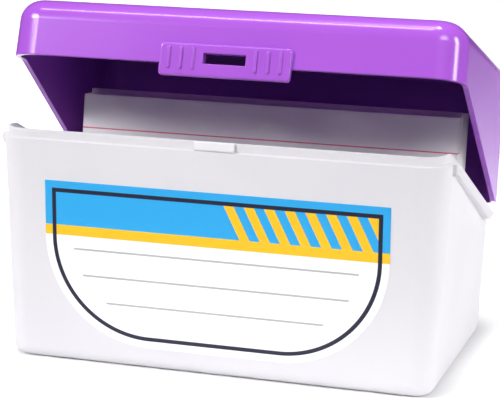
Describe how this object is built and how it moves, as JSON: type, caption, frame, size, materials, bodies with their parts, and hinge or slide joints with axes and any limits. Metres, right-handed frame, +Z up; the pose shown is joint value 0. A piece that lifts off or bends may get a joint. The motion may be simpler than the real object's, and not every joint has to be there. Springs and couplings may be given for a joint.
{
  "type": "index card box",
  "caption": "Hinged box for index cards: tapered translucent tub with a sloped rim, purple snap lid with a latch tab, and a fan of ruled cards inside.",
  "frame": {"origin": "middle of the tub's flat underside", "axes": "+Z up, -Y towards the front with the label and the catch, +X to the right of the front"},
  "size_m": [0.1478, 0.1003, 0.112],
  "materials": {
    "milky_plastic": "milky translucent, satin",
    "purple_plastic": "moulded, glossy",
    "label_paper": "coated sticker",
    "card_paper": "uncoated card stock"
  },
  "bodies": {
    "base": {"base": "milky_plastic", "label": "label_paper"},
    "lid": {"lid": "purple_plastic"},
    "card_packet": {"card_packet": "card_paper"},
    "front_card": {"front_card": "card_paper"},
    "second_card": {"second_card": "card_paper"},
    "third_card": {"third_card": "card_paper"},
    "fourth_card": {"fourth_card": "card_paper"}
  },
  "joints": [
    {"name": "lid_hinge", "type": "hinge", "parent": "base", "child": "lid", "pos_m": [0, 0.04562, 0.0445], "axis": [-1, 0, 0], "range_deg": [-16.5, 85]},
    {"name": "packet_tip", "type": "hinge", "parent": "base", "child": "card_packet", "pos_m": [0, -0.0043, 0.00278], "axis": [1, 0, 0], "range_deg": [0, 10]},
    {"name": "fourth_card_flip", "type": "hinge", "parent": "card_packet", "child": "fourth_card", "pos_m": [0, -0.0043, 0.00278], "axis": [1, 0, 0], "range_deg": [0, 5]},
    {"name": "third_card_flip", "type": "hinge", "parent": "fourth_card", "child": "third_card", "pos_m": [0, -0.0043, 0.00278], "axis": [1, 0, 0], "range_deg": [0, 5]},
    {"name": "second_card_flip", "type": "hinge", "parent": "third_card", "child": "second_card", "pos_m": [0, -0.0043, 0.00278], "axis": [1, 0, 0], "range_deg": [0, 5]},
    {"name": "front_card_flip", "type": "hinge", "parent": "second_card", "child": "front_card", "pos_m": [0, -0.0043, 0.00278], "axis": [1, 0, 0], "range_deg": [0, 8]}
  ]
}
